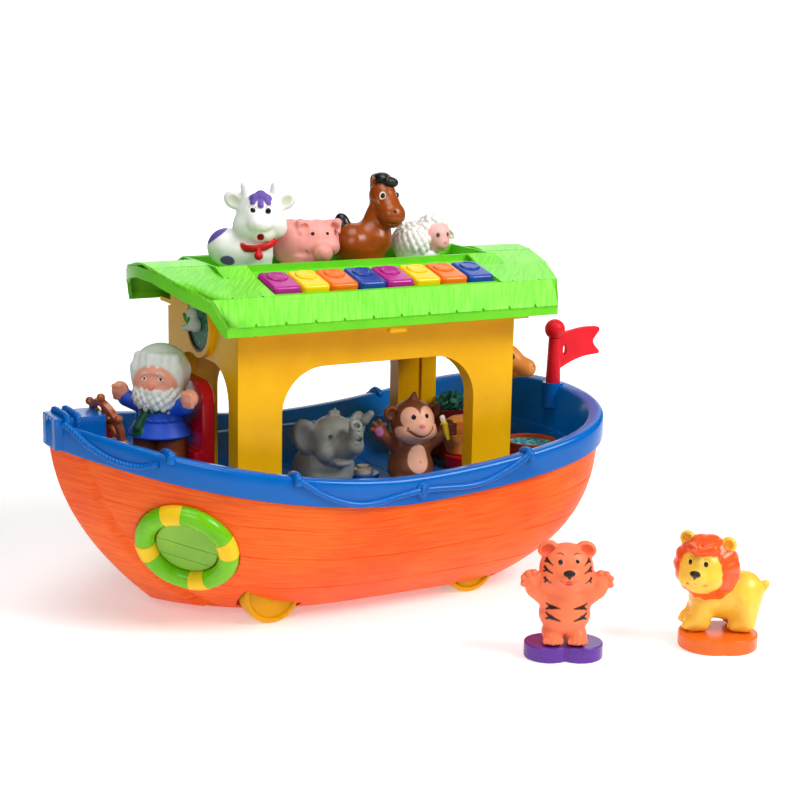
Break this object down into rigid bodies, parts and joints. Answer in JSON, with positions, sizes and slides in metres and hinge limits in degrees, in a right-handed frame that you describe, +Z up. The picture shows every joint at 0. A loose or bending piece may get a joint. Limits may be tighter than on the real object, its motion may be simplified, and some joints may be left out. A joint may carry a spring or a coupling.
{
  "type": "toy ark with figures",
  "caption": "Rolling toy boat with a cabin, a roof with piano keys, a clock, a flag and loose animal figures.",
  "frame": {"origin": "on the flat underside of the hull, below the middle of the cabin", "axes": "+X towards the stern, +Z up, the port side with the keys and the life buoy faces -Y"},
  "size_m": [0.4173, 0.3515, 0.2812],
  "materials": {
    "hull_orange": "satin moulded plastic with a wood grain",
    "deck_blue": "satin moulded plastic",
    "cabin_yellow": "glossy moulded plastic",
    "roof_lime": "satin moulded plastic with a shingle grain",
    "wheel_yellow": "glossy moulded plastic",
    "steel": "zinc-plated",
    "key_magenta": "glossy moulded plastic",
    "key_yellow": "glossy moulded plastic",
    "key_orange": "glossy moulded plastic",
    "key_blue": "glossy moulded plastic",
    "contact_rubber": "matt silicone",
    "board_green": "coated board",
    "speaker_black": "paper cone and steel basket",
    "cell_gold": "printed sleeve",
    "clock_red": "painted plastic",
    "clock_teal": "printed dial",
    "hand_grey": "painted plastic",
    "seat_red": "glossy moulded plastic",
    "helm_brown": "painted plastic",
    "buoy_lime": "glossy painted plastic",
    "buoy_yellow": "glossy painted plastic",
    "flag_red": "glossy moulded plastic",
    "bath_orange": "painted plastic",
    "water_blue": "glossy painted relief",
    "trough_red": "painted plastic",
    "hay_green": "painted relief",
    "button_cream": "satin moulded plastic",
    "captain_paint": "painted vinyl",
    "cow_white": "painted vinyl",
    "pig_pink": "painted vinyl",
    "horse_brown": "painted vinyl",
    "sheep_white": "painted vinyl",
    "elephant_grey": "painted vinyl",
    "monkey_brown": "painted vinyl",
    "giraffe_orange": "painted vinyl",
    "base_red": "glossy moulded plastic",
    "lion_yellow": "painted vinyl",
    "base_orange": "glossy moulded plastic",
    "tiger_orange": "painted vinyl",
    "base_purple": "glossy moulded plastic"
  },
  "bodies": {
    "ark": {"hull_shell": "hull_orange", "deck_tub": "deck_blue", "hull_screws": "steel", "cabin_wall_port": "cabin_yellow", "cabin_wall_starboard": "cabin_yellow", "cabin_wall_bow": "cabin_yellow", "cabin_wall_stern": "cabin_yellow", "cabin_screws": "steel", "ceiling_frame": "cabin_yellow", "roof_shell": "roof_lime", "roof_screws": "steel", "key_mat": "contact_rubber", "key_board": "board_green", "speaker": "speaker_black", "battery_cells": "cell_gold", "battery_door": "cabin_yellow", "clock_bezel": "clock_red", "clock_dial": "clock_teal", "captain_seat": "seat_red", "helm_post": "seat_red", "lifebuoy_ring": "buoy_lime", "lifebuoy_bands": "buoy_yellow", "lifebuoy_panel": "buoy_lime", "bath_tub": "bath_orange", "bath_water": "water_blue", "hay_trough": "trough_red", "hay": "hay_green"},
    "wheels_front": {"axle_front": "steel", "wheel_front_port": "wheel_yellow", "wheel_front_starboard": "wheel_yellow"},
    "wheels_rear": {"axle_rear": "steel", "wheel_rear_port": "wheel_yellow", "wheel_rear_starboard": "wheel_yellow"},
    "clock_pointer": {"clock_hand": "hand_grey"},
    "steering_wheel": {"helm_wheel": "helm_brown"},
    "pennant": {"flag": "flag_red"},
    "push_button": {"deck_button": "button_cream"},
    "captain_figure": {"captain": "captain_paint"},
    "cow_figure": {"cow": "cow_white"},
    "pig_figure": {"pig": "pig_pink"},
    "horse_figure": {"horse": "horse_brown"},
    "sheep_figure": {"sheep": "sheep_white"},
    "elephant_figure": {"elephant": "elephant_grey"},
    "monkey_figure": {"monkey": "monkey_brown"},
    "giraffe_figure": {"giraffe": "giraffe_orange", "giraffe_base": "base_red"},
    "lion_figure": {"lion": "lion_yellow", "lion_base": "base_orange"},
    "tiger_figure": {"tiger": "tiger_orange", "tiger_base": "base_purple"},
    "key_body_1": {"key_1": "key_magenta"},
    "key_body_2": {"key_2": "key_yellow"},
    "key_body_3": {"key_3": "key_orange"},
    "key_body_4": {"key_4": "key_blue"},
    "key_body_5": {"key_5": "key_magenta"},
    "key_body_6": {"key_6": "key_yellow"},
    "key_body_7": {"key_7": "key_orange"},
    "key_body_8": {"key_8": "key_blue"}
  },
  "joints": [
    {"name": "front_axle_turn", "type": "hinge", "parent": "ark", "child": "wheels_front", "pos_m": [-0.0775, 0, 0.012], "axis": [0, 1, 0], "continuous": true},
    {"name": "rear_axle_turn", "type": "hinge", "parent": "ark", "child": "wheels_rear", "pos_m": [0.071, 0, 0.012], "axis": [0, 1, 0], "continuous": true},
    {"name": "clock_hand_turn", "type": "hinge", "parent": "ark", "child": "clock_pointer", "pos_m": [-0.1012, 0, 0.18], "axis": [1, 0, 0], "continuous": true},
    {"name": "helm_turn", "type": "hinge", "parent": "ark", "child": "steering_wheel", "pos_m": [-0.166, 0, 0.121], "axis": [0.9254, 0.1632, 0.342], "continuous": true},
    {"name": "flag_turn", "type": "hinge", "parent": "ark", "child": "pennant", "pos_m": [0.174, 0, 0.12], "axis": [0, 0, 1], "continuous": true},
    {"name": "deck_button_press", "type": "slide", "parent": "ark", "child": "push_button", "axis": [0, 0, 1], "range_m": [-0.0015, 0], "stiffness_N_per_m": 200, "springref_m": 0.0008},
    {"name": "key_1_press", "type": "slide", "parent": "ark", "child": "key_body_1", "axis": [0, -0.2324, 0.9726], "range_m": [-0.0025, 0], "stiffness_N_per_m": 200, "springref_m": 0.001},
    {"name": "key_2_press", "type": "slide", "parent": "ark", "child": "key_body_2", "axis": [0, -0.2324, 0.9726], "range_m": [-0.0025, 0], "stiffness_N_per_m": 200, "springref_m": 0.001},
    {"name": "key_3_press", "type": "slide", "parent": "ark", "child": "key_body_3", "axis": [0, -0.2324, 0.9726], "range_m": [-0.0025, 0], "stiffness_N_per_m": 200, "springref_m": 0.001},
    {"name": "key_4_press", "type": "slide", "parent": "ark", "child": "key_body_4", "axis": [0, -0.2324, 0.9726], "range_m": [-0.0025, 0], "stiffness_N_per_m": 200, "springref_m": 0.001},
    {"name": "key_5_press", "type": "slide", "parent": "ark", "child": "key_body_5", "axis": [0, -0.2324, 0.9726], "range_m": [-0.0025, 0], "stiffness_N_per_m": 200, "springref_m": 0.001},
    {"name": "key_6_press", "type": "slide", "parent": "ark", "child": "key_body_6", "axis": [0, -0.2324, 0.9726], "range_m": [-0.0025, 0], "stiffness_N_per_m": 200, "springref_m": 0.001},
    {"name": "key_7_press", "type": "slide", "parent": "ark", "child": "key_body_7", "axis": [0, -0.2324, 0.9726], "range_m": [-0.0025, 0], "stiffness_N_per_m": 200, "springref_m": 0.001},
    {"name": "key_8_press", "type": "slide", "parent": "ark", "child": "key_body_8", "axis": [0, -0.2324, 0.9726], "range_m": [-0.0025, 0], "stiffness_N_per_m": 200, "springref_m": 0.001},
    {"name": "captain_lift", "type": "slide", "parent": "ark", "child": "captain_figure", "axis": [0, 0, 1], "range_m": [0, 0.035]},
    {"name": "cow_lift", "type": "slide", "parent": "ark", "child": "cow_figure", "axis": [0, 0, 1], "range_m": [0, 0.06]},
    {"name": "pig_lift", "type": "slide", "parent": "ark", "child": "pig_figure", "axis": [0, 0, 1], "range_m": [0, 0.06]},
    {"name": "horse_lift", "type": "slide", "parent": "ark", "child": "horse_figure", "axis": [0, 0, 1], "range_m": [0, 0.06]},
    {"name": "sheep_lift", "type": "slide", "parent": "ark", "child": "sheep_figure", "axis": [0, 0, 1], "range_m": [0, 0.06]},
    {"name": "elephant_lift", "type": "slide", "parent": "ark", "child": "elephant_figure", "axis": [0, 0, 1], "range_m": [0, 0.05]},
    {"name": "monkey_lift", "type": "slide", "parent": "ark", "child": "monkey_figure", "axis": [0, 0, 1], "range_m": [0, 0.05]},
    {"name": "giraffe_lift", "type": "slide", "parent": "ark", "child": "giraffe_figure", "axis": [0, 0, 1], "range_m": [0, 0.05]},
    {"name": "lion_lift", "type": "slide", "parent": "ark", "child": "lion_figure", "axis": [0, 0, 1], "range_m": [0, 0.06]},
    {"name": "tiger_lift", "type": "slide", "parent": "ark", "child": "tiger_figure", "axis": [0, 0, 1], "range_m": [0, 0.06]}
  ]
}
